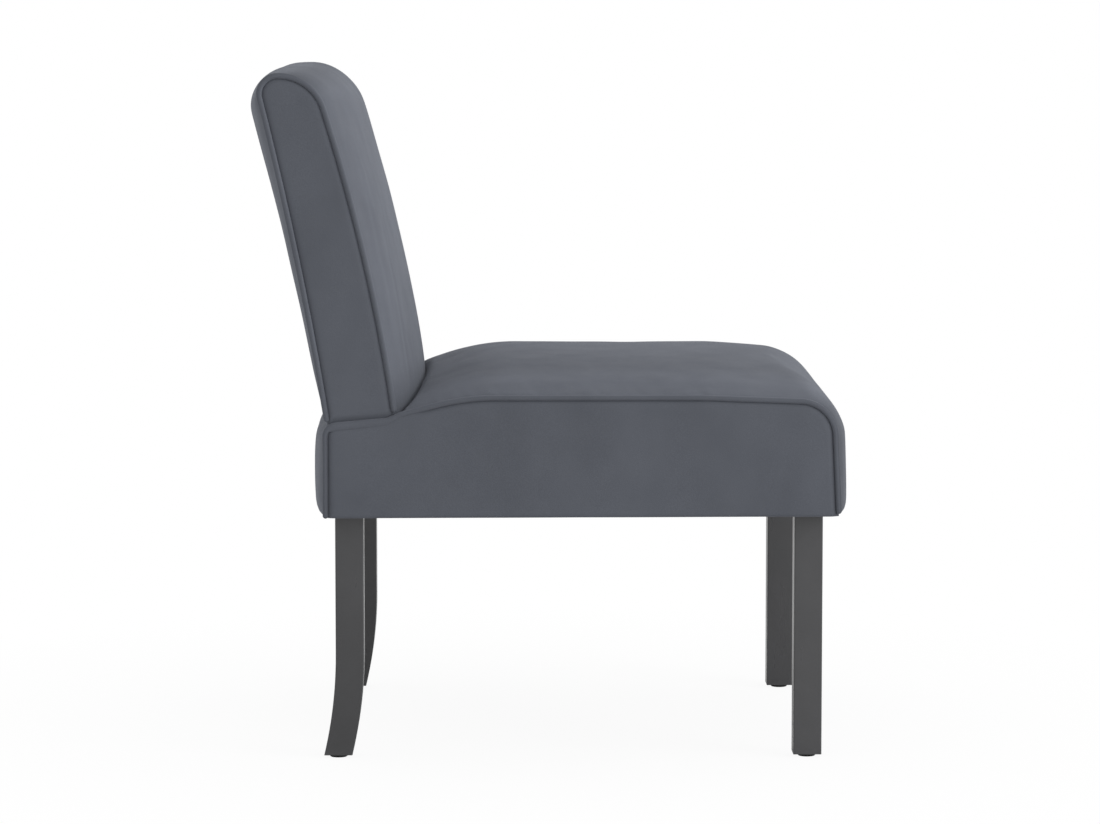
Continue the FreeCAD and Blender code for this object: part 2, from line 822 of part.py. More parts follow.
def dust_cover():
    """Thin cloth under the seat, above the legs."""
    cloth = block(dust_cover_inset - wrap_half_width, wrap_half_width - dust_cover_inset,
                  seam_front + dust_cover_inset, seam_rear - dust_cover_inset,
                  leg_top, seat_bottom)
    holes = rods([(Vector(x, y, leg_top), Vector(x, y, seat_bottom))
                  for x, y in leg_centres().values()], leg_bolt_radius + drill_spare)
    return drilled(cloth, holes)


def back_soft():
    """Filling, covers, side panels and piping of the back."""
    outer = crowned(back_loop, 0.0)
    cover_inside = crowned(back_loop, cover_thickness)
    lining = crowned(back_loop, lining_inset)
    wadding_inside = crowned(back_loop, lining_inset + wadding_thickness)
    core = crowned(back_loop, foam_inset)
    low = seat_bottom
    high = back_height + beyond
    rear_zone = across_back(-seat_width, seat_width, low, high, -beyond, board_depth)
    rear_pad_zone = across_back(-seat_width, seat_width, low, high, -beyond,
                                board_depth - fit_gap)
    frame_zone = across_back(-seat_width, seat_width, low, post_top + soft_gap, -beyond,
                             strap_far + fit_gap)
    cloth_top = bottom_cloth_thickness + soft_gap
    y_low = front_arc.y_at(back_foot_height) - beyond
    y_high = seam_rear + beyond
    seat_room = crowned(seat_loop, -soft_gap)
    between_pads = block(-frame_half_width, frame_half_width, y_low, y_high + beyond, low, high)

    def under(lift):
        corners = [(y_low, low), (y_high, low), (y_high, shelf_height(y_high) + lift),
                   (y_low, shelf_height(y_low) + lift)]
        return prism(corners, -seat_width, seat_width)

    above_cloth = under(cloth_top + fit_gap)
    cover = outer.cut(cover_inside).cut(seat_room)
    inside = lining.common(between_pads).cut(seat_room)
    foam = core.common(between_pads).cut(frame_zone).cut(rear_zone).cut(above_cloth)
    wadding = inside.cut(wadding_inside).cut(frame_zone).cut(rear_zone).cut(above_cloth)
    rear_pad = inside.common(rear_pad_zone).cut(above_cloth)
    cloth = drilled(inside.common(under(cloth_top)), both_sides([post_hole()]))
    pad_low = panel_inner - soft_gap - side_pad_thickness
    side_pad = back_band(pad_low, panel_inner - soft_gap, panel_inset + soft_gap)
    panel = back_band(panel_inner, seam_half_width, panel_inset)
    piping_path = back_loop_edges(seam_half_width, 0.0, back_piping_front_lift,
                                  back_piping_rear_lift)
    piping = tube(piping_path, piping_radius)
    return {
        "back_cover": [cover],
        "back_wadding": [wadding],
        "back_foam": [foam],
        "back_rear_pad": [rear_pad],
        "back_bottom_cloth": [cloth],
        "back_right_pad": [side_pad],
        "back_left_pad": [mirrored(side_pad)],
        "back_right_panel": [panel],
        "back_left_panel": [mirrored(panel)],
        "back_right_piping": [piping],
        "back_left_piping": [mirrored(piping)],
    }


def write(name, solids):
    """One STEP file for one node, holding each of its solids."""
    bodies = [solid for shape in solids for solid in shape.Solids]
    shape = bodies[0] if len(bodies) == 1 else Part.makeCompound(bodies)
    shape.exportStep(os.path.join("parts", name + ".step"))
    print(name, len(bodies), "solids", round(shape.Volume / 1000, 1), "cm3",
          "valid" if shape.isValid() else "NOT VALID")


os.makedirs("parts", exist_ok=True)
nodes = {}
nodes.update(seat_wood())
nodes.update(back_wood())
nodes.update(seat_soft())
nodes.update(back_soft())
nodes.update({name: [leg] for name, leg in legs().items()})
nodes.update(glides_and_nails())
nodes["leg_bolts"] = leg_bolts()
nodes["leg_inserts"] = leg_inserts()
nodes["dust_cover"] = [dust_cover()]
for node_name, node_solids in nodes.items():
    write(node_name, node_solids)
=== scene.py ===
import math

import bpy
import numpy as np
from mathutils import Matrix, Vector


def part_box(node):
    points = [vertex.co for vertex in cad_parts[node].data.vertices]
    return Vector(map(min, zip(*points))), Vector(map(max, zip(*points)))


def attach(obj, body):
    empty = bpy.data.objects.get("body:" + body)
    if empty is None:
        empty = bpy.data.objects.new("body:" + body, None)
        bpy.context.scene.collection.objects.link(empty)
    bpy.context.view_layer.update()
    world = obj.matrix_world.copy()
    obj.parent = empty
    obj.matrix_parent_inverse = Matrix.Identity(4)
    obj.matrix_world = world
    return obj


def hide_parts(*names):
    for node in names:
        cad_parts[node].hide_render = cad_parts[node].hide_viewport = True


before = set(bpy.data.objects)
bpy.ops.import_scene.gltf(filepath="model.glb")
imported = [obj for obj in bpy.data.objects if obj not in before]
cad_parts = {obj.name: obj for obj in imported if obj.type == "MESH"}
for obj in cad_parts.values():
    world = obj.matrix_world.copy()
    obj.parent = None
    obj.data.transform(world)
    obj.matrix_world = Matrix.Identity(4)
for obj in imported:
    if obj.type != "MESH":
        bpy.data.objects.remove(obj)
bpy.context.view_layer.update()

# A slipper chair in blue-grey velvet on black legs. Metres, +Z up, facing -Y.
# Outlines are drawn in the side view as (y, z). The seams lie on the planes x = +-seam_x.

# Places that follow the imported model; the finished piping stands slightly proud of it
seam_outset = 0.002
piping_low, piping_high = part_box("seat_right_piping")
back_piping_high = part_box("back_right_piping")[1]
piping_radius = (piping_high.x - piping_low.x) / 2
seam_x = (piping_high.x + piping_low.x) / 2
seam_front = piping_low.y + piping_radius - seam_outset
seam_rear = piping_high.y - piping_radius
seat_seam_top = piping_high.z - piping_radius + seam_outset
back_seam_top = back_piping_high.z - piping_radius
seat_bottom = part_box("dust_cover")[1].z
wrap_x = seam_x - piping_radius

# Seat outline
seat_front_top_radius = 0.038
seat_front_top_extra_radius = 0.056
seat_front_lean_run = 0.0055
seat_front_slope_run = 0.140
seat_front_drop = 0.005
seat_front_extra_drop = 0.006
seat_front_foot_radius = 0.005
front_cord_lift = 0.003
seat_rear_top_radius = 0.012
seat_rear_top_extra_radius = 0.018
seat_rear_foot_radius = 0.004
shelf_front_height = 0.3640
shelf_rear_height = 0.3575
shelf_corner_radius = 0.005
shelf_side_run = 0.015
crest_drop = 0.0175
crest_extra_drop = 0.0045
crest_length = 0.066
crest_radius = 0.012
crest_break_radius = 0.25

# Back outline
back_foot_height = 0.365
back_foot_setback = 0.0045
back_foot_thickness = 0.072
back_cord_front_foot = 0.3725
back_cord_rear_foot = 0.3620
rear_lean = math.radians(9.0)
rear_crown_lean = math.radians(2.15)
rear_arc_radius = 4.003
front_lean = math.radians(8.1)
front_arc_radius = 2.034
back_rear_corner_radius = 0.019
back_rear_corner_extra_radius = 0.025
back_front_corner_radius = 0.049
back_front_corner_extra_radius = 0.010

# Crowns above the seams at mid width
crown_power = 0.6
seat_top_crown = 0.030
seat_front_crown = 0.0202
seat_rear_crown = 0.018
back_front_crown = 0.029
back_top_crown = 0.0095
back_rear_crown = 0.0095

# Cloth grids and the settling of the filling
cell = 0.006
across_cells = 96
edge_crowding = 0.55
hem = 0.018
hem_round = 0.004
hem_rise = 0.0014
rear_hem_sag = 0.0012
touch_gap = 0.0003
tuck = 0.0015
most_filling_move = 0.002
filling_softness = 10
filling_frames = 20
broad_dent_depth = 0.0006
broad_dent_lengths = (0.19, 0.15)
broad_dent_fade = 0.05
pucker_depth = 0.0006
pucker_length = 0.021
pucker_reach = 0.016
pucker_start = 0.003
pull_line_depth = 0.0004
pull_line_spacing = 0.033
pull_line_band = 0.15
pull_line_lowest = 0.38
pull_line_highest = 0.68
rest_start_y = 0.13

# Side panels and piping
seam_line_step = 0.0015
seat_side_cells = (56, 200)
back_side_cells = (150, 48)
side_crowding = 0.8
groove_width = 0.0045
groove_depth = 0.0015
panel_rise = 0.0020
panel_dents = 0.0005
panel_dent_length = 0.17
puff_depth = 0.0022
puff_behind_seam = 0.036
puff_above_foot = 0.040
puff_length = 0.022
puff_height = 0.050
merge_start_y = 0.128
merge_end_y = 0.205
merge_run = 0.02
pressed_start_y = 0.155
ledge_slack = 0.004
cord_step = 0.0022
cord_sides = 20
cord_unevenness = 0.015
cord_unevenness_length = 0.034
cord_spread_under_back = 0.6
cord_sink_under_back = 0.0016

# Camera and light
camera_place = Vector((-4.6314, 0.049, 0.8077))
camera_pitch = math.radians(5.698)
camera_yaw = math.radians(0.642)
camera_lens = 137.18
ambient = 0.82
lamp_place = (-2.4, -4.0, 1.9)
lamp_target = (0, 0, 0.4)
lamp_size = 2.6
lamp_power = 105
floor_half = 6.0

# Colours
velvet_colour = (0.083, 0.0895, 0.106)
velvet_sheen_tint = (0.80, 0.86, 1.0, 1)
paint_colour = (0.038, 0.038, 0.040)

# Where the velvet's painted light and shade change with height and nearness to the seams
painted_front_light_heights = (0.34, 0.42)
painted_top_shade_heights = (0.60, 0.68)
painted_seam_sheen_places = (0.170, 0.225)


def unit(vector):
    """The same direction, one long."""
    return vector / np.linalg.norm(vector)


def run(start, end):
    """A straight run, as a function from shares of its length to points."""
    start, end = np.array(start, float), np.array(end, float)
    return lambda share: start + np.outer(share, end - start)


def turn(centre, radius, first, last):
    """An arc between two angles."""
    def place(share):
        angle = first + (last - first) * share
        return np.column_stack([centre[0] + radius * np.cos(angle),
                                centre[1] + radius * np.sin(angle)])
    return place


def angle_of(point, centre):
    """The direction from a centre to a point."""
    return math.atan2(point[1] - centre[1], point[0] - centre[0])


def near_angle(angle, other):
    """The same direction, counted so that it lies within half a turn of the other angle."""
    return other + (angle - other + math.pi) % (2 * math.pi) - math.pi


def rounded(points, radii):
    """Runs and turns along a path with rounded corners."""
    pieces = []
    points = [np.array(point, float) for point in points]
    start = points[0]
    for before, corner, after, radius in zip(points, points[1:], points[2:], radii):
        to_before = unit(before - corner)
        to_after = unit(after - corner)
        half = math.acos(float(np.clip(to_before @ to_after, -1, 1))) / 2
        reach = radius / math.tan(half)
        centre = corner + unit(to_before + to_after) * radius / math.sin(half)
        first = corner + to_before * reach
        last = corner + to_after * reach
        angle = angle_of(first, centre)
        pieces.append(run(start, first))
        pieces.append(turn(centre, radius, angle, near_angle(angle_of(last, centre), angle)))
        start = last
    pieces.append(run(start, points[-1]))
    return pieces


def piece_length(piece):
    """The length of a run or turn, by short steps."""
    points = piece(np.linspace(0, 1, 33))
    return float(np.linalg.norm(np.diff(points, axis=0), axis=1).sum())


def step_counts(pieces, size):
    """How many steps of about this size each piece takes."""
    return [max(2, round(piece_length(piece) / size)) for piece in pieces]


def sampled(pieces, steps):
    """Points along the pieces, with this many steps in each."""
    found = [piece(np.linspace(0, 1, count + 1))[1:] for piece, count in zip(pieces, steps)]
    return np.vstack([pieces[0](np.array([0.0]))] + found)


def smooth_step(share):
    """An even rise from 0 to 1."""
    share = np.clip(share, 0.0, 1.0)
    return share * share * (3 - 2 * share)


class LeaningArc:
    """An upright arc in the side view that leans back more towards its top."""

    def __init__(self, foot_y, lean, radius):
        self.centre = (foot_y + radius * math.cos(lean), back_foot_height - radius * math.sin(lean))
        self.radius = radius

    def y_at(self, height, forward=0.0):
        """Where the arc is at a height, or one that lies this much further forward."""
        reach = self.radius + forward
        return self.centre[0] - math.sqrt(reach ** 2 - (height - self.centre[1]) ** 2)

    def angle_at(self, height, forward):
        """The direction from the arc's centre to its point at a height."""
        return angle_of((self.y_at(height, forward), height), self.centre)


back_foot_rear = seam_rear + piping_radius - back_foot_setback
front_arc = LeaningArc(back_foot_rear - back_foot_thickness, front_lean, front_arc_radius)


def crown_share(x):
    """How much of the crown a section at x has: none at the seam, all at mid width."""
    across = min(1.0, abs(x) / wrap_x)
    return (1.0 - across ** 2) ** crown_power


def shelf_height(y):
    """The seat's ledge behind its crest, on which the back stands."""
    shelf_front = front_arc.y_at(shelf_front_height)
    slope = (shelf_front_height - shelf_rear_height) / (seam_rear - shelf_front)
    return shelf_front_height - slope * (y - shelf_front)


def foot_height(y):
    """The seat's lower edge, which hangs slightly lower towards the rear."""
    return seat_bottom - rear_hem_sag * (y - seam_front) / (seam_rear - seam_front)


def seat_path(x, share, inset=0.0):
    """The seat's outline from its rear foot over the top to its front foot."""
    front = seam_front + inset - seat_front_crown * share
    rear = seam_rear - inset + seat_rear_crown * share
    top = seat_seam_top - inset + seat_top_crown * share
    crest = top - crest_drop - crest_extra_drop * share
    front_top = top - seat_front_drop - seat_front_extra_drop * share
    front_radius = seat_front_top_radius + seat_front_top_extra_radius * share ** 2
    side = 1 - share
    room = touch_gap + 2 * piping_radius * side + inset
    shelf_y = front_arc.y_at(shelf_front_height, back_front_crown * share) - room
    shelf_y += shelf_side_run * side ** 2
    crest_y = front_arc.y_at(crest, back_front_crown * share) - room
    points = [
        (rear - hem, seat_bottom + hem_rise),
        (rear, foot_height(rear)),
        (rear, shelf_height(rear) - inset),
        (shelf_y, shelf_height(shelf_y) - inset),
        (crest_y, crest),
        (crest_y - crest_length, top),
        (front + seat_front_slope_run, top),
        (front + seat_front_lean_run, front_top),
        (front, foot_height(front)),
        (front + hem, seat_bottom + hem_rise),
    ]
    rear_radius = seat_rear_top_radius + seat_rear_top_extra_radius * share
    radii = [seat_rear_foot_radius, rear_radius, shelf_corner_radius, crest_radius,
             crest_break_radius, crest_break_radius, front_radius, seat_front_foot_radius]
    return rounded(points, radii)


def back_path(x, share, inset=0.0, front_foot=None, rear_foot=None):
    """The back's outline from its front foot over the top to its rear foot."""
    rear_side = LeaningArc(back_foot_rear, rear_lean + rear_crown_lean * share, rear_arc_radius)
    near = inset - back_rear_crown * share
    far = back_front_crown * share - inset
    top = back_seam_top - inset + back_top_crown * share
    front_radius = back_front_corner_radius - inset + back_front_corner_extra_radius * share
    rear_radius = back_rear_corner_radius - inset + back_rear_corner_extra_radius * share
    front_foot = front_foot or shelf_height(front_arc.y_at(shelf_front_height, far)) + touch_gap
    rear_foot = rear_foot or shelf_height(rear_side.y_at(shelf_rear_height, near)) + touch_gap
    front_round = (front_arc.y_at(top - front_radius, far - front_radius), top - front_radius)
    rear_round = (rear_side.y_at(top - rear_radius, near + rear_radius), top - rear_radius)
    front_angle = angle_of(front_round, front_arc.centre)
    rear_angle = angle_of(rear_round, rear_side.centre)
    up = math.pi / 2
    return [
        turn(front_arc.centre, front_arc.radius + far,
             front_arc.angle_at(front_foot, far), front_angle),
        turn(front_round, front_radius, front_angle, up),
        run((front_round[0], top), (rear_round[0], top)),
        turn(rear_round, rear_radius, up, rear_angle - math.pi),
        turn(rear_side.centre, rear_side.radius + near, rear_angle,
             rear_side.angle_at(rear_foot, near)),
    ]


def mesh_piece(name, vertices, faces):
    """A smooth piece from its vertices and faces."""
    mesh = bpy.data.meshes.new(name)
    mesh.from_pydata([tuple(vertex) for vertex in vertices], [], faces)
    mesh.validate()
    piece = bpy.data.objects.new(name, mesh)
    bpy.context.scene.collection.objects.link(piece)
    mesh.shade_smooth()
    return piece


def grid_faces(rows, columns, ring=False):
    """Faces between the points of a grid; a ring's last column joins its first."""
    faces = []
    for row in range(rows - 1):
        for column in range(columns if ring else columns - 1):
            after = (column + 1) % columns
            low = row * columns
            high = low + columns
            faces.append((low + column, low + after, high + after, high + column))
    return faces


def grid_piece(name, grid, flip=False):
    """A piece from a grid of points; flip turns its faces over."""
    rows, columns = grid.shape[:2]
    faces = grid_faces(rows, columns)
    if flip:
        faces = [face[::-1] for face in faces]
    return mesh_piece(name, grid.reshape(-1, 3), faces)


def coordinates(piece):
    """The place of each vertex."""
    found = np.empty(len(piece.data.vertices) * 3, np.float32)
    piece.data.vertices.foreach_get("co", found)
    return found.reshape(-1, 3).astype(float)


def set_coordinates(piece, points):
    """Puts each vertex in its new place."""
    piece.data.vertices.foreach_set("co", points.astype(np.float32).ravel())
    piece.data.update()


def across_places():
    """Places across the wrap, closer together near the seams."""
    even = np.linspace(-1, 1, across_cells + 1)
    return wrap_x * (edge_crowding * np.sin(math.pi / 2 * even) + (1 - edge_crowding) * even)


def wrap(path):
    """Grid of the crowned cloth between the two seams, tucked under the piping at its edges."""
    steps = step_counts(path(0.0, 1.0), cell)
    sections = []
    for x in across_places():
        outline = sampled(path(x, crown_share(x)), steps)
        sections.append(np.column_stack([np.full(len(outline), x), outline]))
    for side, place in ((-1, 0), (1, len(sections))):
        outline = sampled(path(seam_x, 0.0, tuck), steps)
        edge = np.column_stack([np.full(len(outline), side * seam_x), outline])
        sections.insert(place, edge)
    return np.array(sections)


def hold(piece, points, rows, columns, rests):
    """Names the vertices that the simulation leaves in place: seams, hems and where it rests."""
    held = piece.vertex_groups.new(name="held")
    index = np.arange(len(points)).reshape(rows, columns)
    still = np.concatenate([index[:2].ravel(), index[-2:].ravel(), index[:, :4].ravel(),
                            index[:, -4:].ravel(), np.nonzero(rests(points))[0]])
    held.add([int(number) for number in np.unique(still)], 1.0, "REPLACE")


def fill(piece, columns, rests):
    """Lets the cloth settle over its filling, held at the seams and hems, by simulation."""
    rest = coordinates(piece)
    rows = len(rest) // columns
    hold(piece, rest, rows, columns, rests)
    cloth = piece.modifiers.new("filling", "CLOTH")
    cloth.settings.quality = 6
    cloth.settings.mass = 0.3
    cloth.settings.tension_stiffness = 30
    cloth.settings.compression_stiffness = 30
    cloth.settings.shear_stiffness = 15
    cloth.settings.bending_stiffness = 6
    cloth.settings.use_pressure = True
    cloth.settings.uniform_pressure_force = 4
    cloth.settings.vertex_group_mass = "held"
    cloth.settings.shrink_min = -0.003
    cloth.settings.effector_weights.gravity = 0
    cloth.collision_settings.use_collision = False
    for number in range(1, filling_frames + 1):
        bpy.context.scene.frame_set(number)
    settled = piece.evaluated_get(bpy.context.evaluated_depsgraph_get())
    points = np.empty(len(rest) * 3, np.float32)
    settled.data.vertices.foreach_get("co", points)
    piece.modifiers.remove(cloth)
    bpy.context.scene.frame_set(1)
    move = (points.reshape(-1, 3) - rest).reshape(rows, columns, 3)
    for _ in range(filling_softness):
        move[1:-1] = (move[:-2] + 2 * move[1:-1] + move[2:]) / 4
        move[:, 1:-1] = (move[:, :-2] + 2 * move[:, 1:-1] + move[:, 2:]) / 4
    move = move.reshape(-1, 3)
    size = np.linalg.norm(move, axis=1, keepdims=True)
    capped = most_filling_move * np.tanh(size / most_filling_move)
    set_coordinates(piece, rest + move * capped / np.maximum(size, 1e-9))


def normals_of(piece):
    """The direction in which each vertex faces."""
    found = np.empty(len(piece.data.vertices) * 3, np.float32)
    piece.data.vertex_normals.foreach_get("vector", found)
    return found.reshape(-1, 3).astype(float)


def pushed(piece, amount):
    """Moves each vertex out along its normal by its own amount."""
    set_coordinates(piece, coordinates(piece) + normals_of(piece) * amount[:, None])


def smoothed(piece):
    """One subdivision, applied."""
    modifier = piece.modifiers.new("finer", "SUBSURF")
    modifier.levels = 1
    modifier.render_levels = 1
    mesh = bpy.data.meshes.new_from_object(
        piece.evaluated_get(bpy.context.evaluated_depsgraph_get()))
    piece.modifiers.remove(modifier)
    piece.data = mesh
    mesh.shade_smooth()


def waves(along, across, length, drift):
    """A few soft waves that never repeat exactly, between -1 and 1."""
    turns = 2 * math.pi / length
    return (np.sin(turns * along + drift * np.sin(across * 9.0 + 1.3))
            + 0.6 * np.sin(turns * 0.63 * along + 2.1 + drift * np.sin(across * 5.7))
            + 0.4 * np.sin(turns * 1.57 * along + 0.7 + drift * np.sin(across * 13.1 + 2.0))) / 2.0


def seam_puckers(piece, run_of):
    """Shallow gathers where the wrap is drawn into its seams."""
    points = coordinates(piece)
    reach = wrap_x - np.abs(points[:, 0])
    fade = np.exp(-np.clip(reach, 0, None) / pucker_reach) * smooth_step(reach / pucker_start)
    folds = waves(run_of(points), points[:, 0], pucker_length, 1.0)
    pushed(piece, pucker_depth * fade * folds)


def soft_dents(piece):
    """Broad unevenness of the filling."""
    x, y, z = coordinates(piece).T
    fade = smooth_step((wrap_x - np.abs(x)) / broad_dent_fade)
    around = y + z
    dents = waves(x, around, broad_dent_lengths[0], 1.2) + waves(around, x, broad_dent_lengths[1], 1.1)
    pushed(piece, broad_dent_depth * fade * dents / 2)


def pull_lines(piece):
    """Upright lines in the back's front where the cloth is stretched over its filling."""
    x, y, z = coordinates(piece).T
    inward = wrap_x - np.abs(x)
    front = smooth_step(-normals_of(piece)[:, 1] * 1.6 - 0.3)
    band = smooth_step(inward / 0.02) * smooth_step((pull_line_band - inward) / 0.08)
    height = smooth_step((z - pull_line_lowest) / 0.05)
    height *= smooth_step((pull_line_highest - z) / 0.08)
    folds = waves(x + 0.02 * np.sin(z * 8), z, pull_line_spacing, 1.3)
    pushed(piece, pull_line_depth * front * band * height * folds)


def cord_radius(lengths):
    """The piping's radius along its length, round at its ends: covered cord is never quite even."""
    ends = np.minimum(lengths, lengths[-1] - lengths) / piping_radius
    rounding = np.sqrt(1 - (1 - np.clip(ends, 0.02, 1)) ** 2)
    unevenness = waves(lengths, lengths, cord_unevenness_length, 1.0)
    return piping_radius * rounding * (1.0 + cord_unevenness * unevenness)


def under_back(path):
    """How much the seat's piping is flattened by the back that stands on it."""
    y, z = path.T
    ledge = (z > shelf_rear_height - ledge_slack) & (z < shelf_front_height + 2 * ledge_slack)
    behind_start = smooth_step((y - pressed_start_y) / 0.03)
    before_end = smooth_step((seam_rear + 0.001 - y) / 0.008)
    return ledge * behind_start * before_end


def tube(name, path, pressed, side):
    """Piping along a path in one seam plane; pressed says where a weight flattens it."""
    length = float(np.linalg.norm(np.diff(path, axis=0), axis=1).sum())
    ends = piping_radius * np.array([0.0, 0.05, 0.2, 0.45, 0.8]) / length
    inner = np.linspace(piping_radius / length, 1 - piping_radius / length,
                        int(length / cord_step))
    shares = np.concatenate([ends, inner, 1 - ends[::-1]])
    path = along(path, shares)
    tangents = np.gradient(path, axis=0)
    tangents /= np.linalg.norm(tangents, axis=1, keepdims=True)
    outward = np.column_stack([tangents[:, 1], -tangents[:, 0]])
    flattened = pressed(path)
    wide = cord_radius(shares * length)
    tall = wide * (1 + cord_spread_under_back * flattened)
    centre = path - outward * (cord_sink_under_back * flattened)[:, None]
    angle = np.linspace(0, 2 * math.pi, cord_sides, endpoint=False)
    across = side * seam_x + np.outer(wide, np.cos(angle))
    out = np.outer(tall, np.sin(angle))
    y = centre[:, :1] + outward[:, :1] * out
    z = centre[:, 1:] + outward[:, 1:] * out
    rings = np.stack([across, y, z], axis=2)
    rows = len(rings)
    faces = grid_faces(rows, cord_sides, ring=True)
    faces.append(tuple(range(cord_sides))[::-1])
    faces.append(tuple((rows - 1) * cord_sides + number for number in range(cord_sides)))
    return mesh_piece(name, rings.reshape(-1, 3), faces)


def spread(count, crowding):
    """Shares from 0 to 1, closer together at both ends."""
    even = np.linspace(0, 1, count + 1)
    return (1 - crowding) * even + crowding * (0.5 - 0.5 * np.cos(math.pi * even))


def along(points, shares):
    """Points at these shares of a polyline's length."""
    lengths = np.concatenate([[0], np.cumsum(np.linalg.norm(np.diff(points, axis=0), axis=1))])
    at = shares * lengths[-1]
    return np.column_stack([np.interp(at, lengths, points[:, 0]),
                            np.interp(at, lengths, points[:, 1])])


def patch(left, right, bottom, top, rows, columns):
    """A grid of points inside four boundary lines."""
    s = spread(rows, side_crowding)
    t = spread(columns, side_crowding)
    left, right = along(left, s), along(right, s)
    bottom, top = along(bottom, t), along(top, t)
    s, t = s[:, None, None], t[None, :, None]
    sides = (1 - t) * left[:, None] + t * right[:, None]
    ends = (1 - s) * bottom[None] + s * top[None]
    corners = ((1 - s) * ((1 - t) * bottom[0] + t * bottom[-1])
               + s * ((1 - t) * top[0] + t * top[-1]))
    return sides + ends - corners


def distance_to(points, line_points):
    """Distance of each point to a polyline."""
    best = np.full(len(points), 1e9)
    for start, end in zip(line_points, line_points[1:]):
        way = end - start
        share = np.clip(((points - start) @ way) / max(way @ way, 1e-12), 0, 1)
        best = np.minimum(best, np.linalg.norm(points - start - share[:, None] * way, axis=1))
    return best


def seat_seam():
    """The seat's seam line: rear edge, top edge and front edge, each as points."""
    pieces = seat_path(seam_x, 0.0)
    steps = step_counts(pieces, seam_line_step)
    top = sampled(pieces[3:14], steps[3:14])
    rear = np.array([(seam_rear, foot_height(seam_rear)), top[0]])
    front = np.array([(seam_front, foot_height(seam_front)), top[-1]])
    return rear, top, front


def back_seam():
    """The back's seam line: rear edge, top edge and front edge, each as points."""
    pieces = back_path(seam_x, 0.0, 0.0, back_cord_front_foot, back_cord_rear_foot)
    steps = step_counts(pieces, seam_line_step)
    front = sampled(pieces[:1], steps[:1])
    top = sampled(pieces[1:4], steps[1:4])[::-1]
    rear = sampled(pieces[4:], steps[4:])[::-1]
    return rear, top, front


def back_panel_foot(seat_line, start, end):
    """Where the back's side panel stands on the seat's piping."""
    ways = np.gradient(seat_line, axis=0)
    ways /= np.linalg.norm(ways, axis=1, keepdims=True)
    above = seat_line + piping_radius * np.column_stack([ways[:, 1], -ways[:, 0]])
    under = (above[:, 0] < start[0] - 0.001) & (above[:, 0] > end[0] + 0.001)
    under &= above[:, 1] > shelf_rear_height - ledge_slack
    return np.vstack([[start], above[under], [end]])


def merged_under_back(flat):
    """Where the seat's side runs smoothly into its piping, in front of and under the back."""
    y = flat[:, 0]
    behind_start = smooth_step((y - merge_start_y) / merge_run)
    return behind_start * smooth_step((merge_end_y - y) / merge_run)


def nowhere(flat):
    """For what is the same all along."""
    return np.zeros(len(flat))


def puff_share(flat):
    """The seat's filling swells its side slightly near the foot of the front seam."""
    behind = (flat[:, 0] - seam_front - puff_behind_seam) / puff_length
    above = (flat[:, 1] - seat_bottom - puff_above_foot) / puff_height
    return np.exp(-behind ** 2 - above ** 2)


def side_panel(name, grid, seam, softness, side, fold):
    """A flat padded panel that dips into the seam beside its piping."""
    flat = grid.reshape(-1, 2)
    rise = 1 - np.exp(-(distance_to(flat, seam) / groove_width) ** 2)
    rise = 1 - (1 - rise) * (1 - softness(flat))
    dents = panel_dents * waves(flat[:, 0], flat[:, 1], panel_dent_length, 1.0)
    out = seam_x - groove_depth + (groove_depth + panel_rise + dents) * rise
    if fold:
        out += puff_depth * rise * puff_share(flat)
        lift = (flat[:, 1] - foot_height(flat[:, 0])) / hem_round
        out -= hem_round * (1 - np.sqrt(1 - np.clip(1 - lift, 0, 1) ** 2))
    points = np.column_stack([side * out, flat]).reshape(*grid.shape[:2], 3)
    if fold:
        under = points[:1].copy()
        under[:, :, 0] = side * (seam_x - hem)
        under[:, :, 2] = seat_bottom + hem_rise
        points = np.concatenate([under, points])
    return grid_piece(name, points, flip=side > 0)


def sides():
    """Side panels and piping of the seat and of the back, on both sides."""
    rear, top, front = seat_seam()
    seat_line = np.vstack([rear, top[1:], front[::-1][1:]])
    cord_line = seat_line.copy()
    cord_line[-1, 1] += front_cord_lift
    seat_grid = patch(rear, front, np.array([rear[0], front[0]]), top, *seat_side_cells)
    back_rear, back_top, back_front = back_seam()
    back_line = np.vstack([back_rear, back_top[1:], back_front[::-1][1:]])
    foot = back_panel_foot(seat_line, back_rear[0], back_front[0])
    back_grid = patch(back_rear, back_front, foot, back_top, *back_side_cells)
    back_round = np.vstack([back_line, foot[::-1]])
    for side, word in ((-1, "left"), (1, "right")):
        made["seat_side_" + word] = side_panel("seat_side_" + word, seat_grid, seat_line,
                                               merged_under_back, side, True)
        made["back_side_" + word] = side_panel("back_side_" + word, back_grid, back_round,
                                               nowhere, side, False)
        made["seat_cord_" + word] = tube("seat_cord_" + word, cord_line, under_back, side)
        made["back_cord_" + word] = tube("back_cord_" + word, back_line, nowhere, side)


def seat_ledge(points):
    """The part of the seat's cloth that lies under the back."""
    x, y, z = points.T
    return (y > rest_start_y) & (z > shelf_rear_height - 3 * ledge_slack)


def no_rest(points):
    """For cloth that nothing stands on."""
    return np.zeros(len(points), bool)


def along_seat(points):
    """A measure that grows around the seat's wrap."""
    return points[:, 1] - points[:, 2]


def along_back(points):
    """A measure that grows up the back's wrap."""
    return points[:, 2]


def wraps():
    """The crowned covers of the seat and of the back."""
    for name, path, rests, run_of, flip in (
            ("seat_crown", seat_path, seat_ledge, along_seat, False),
            ("back_crown", back_path, no_rest, along_back, True)):
        grid = wrap(path)
        piece = grid_piece(name, grid, flip=flip)
        fill(piece, grid.shape[1], rests)
        smoothed(piece)
        soft_dents(piece)
        seam_puckers(piece, run_of)
        made[name] = piece
    pull_lines(made["back_crown"])


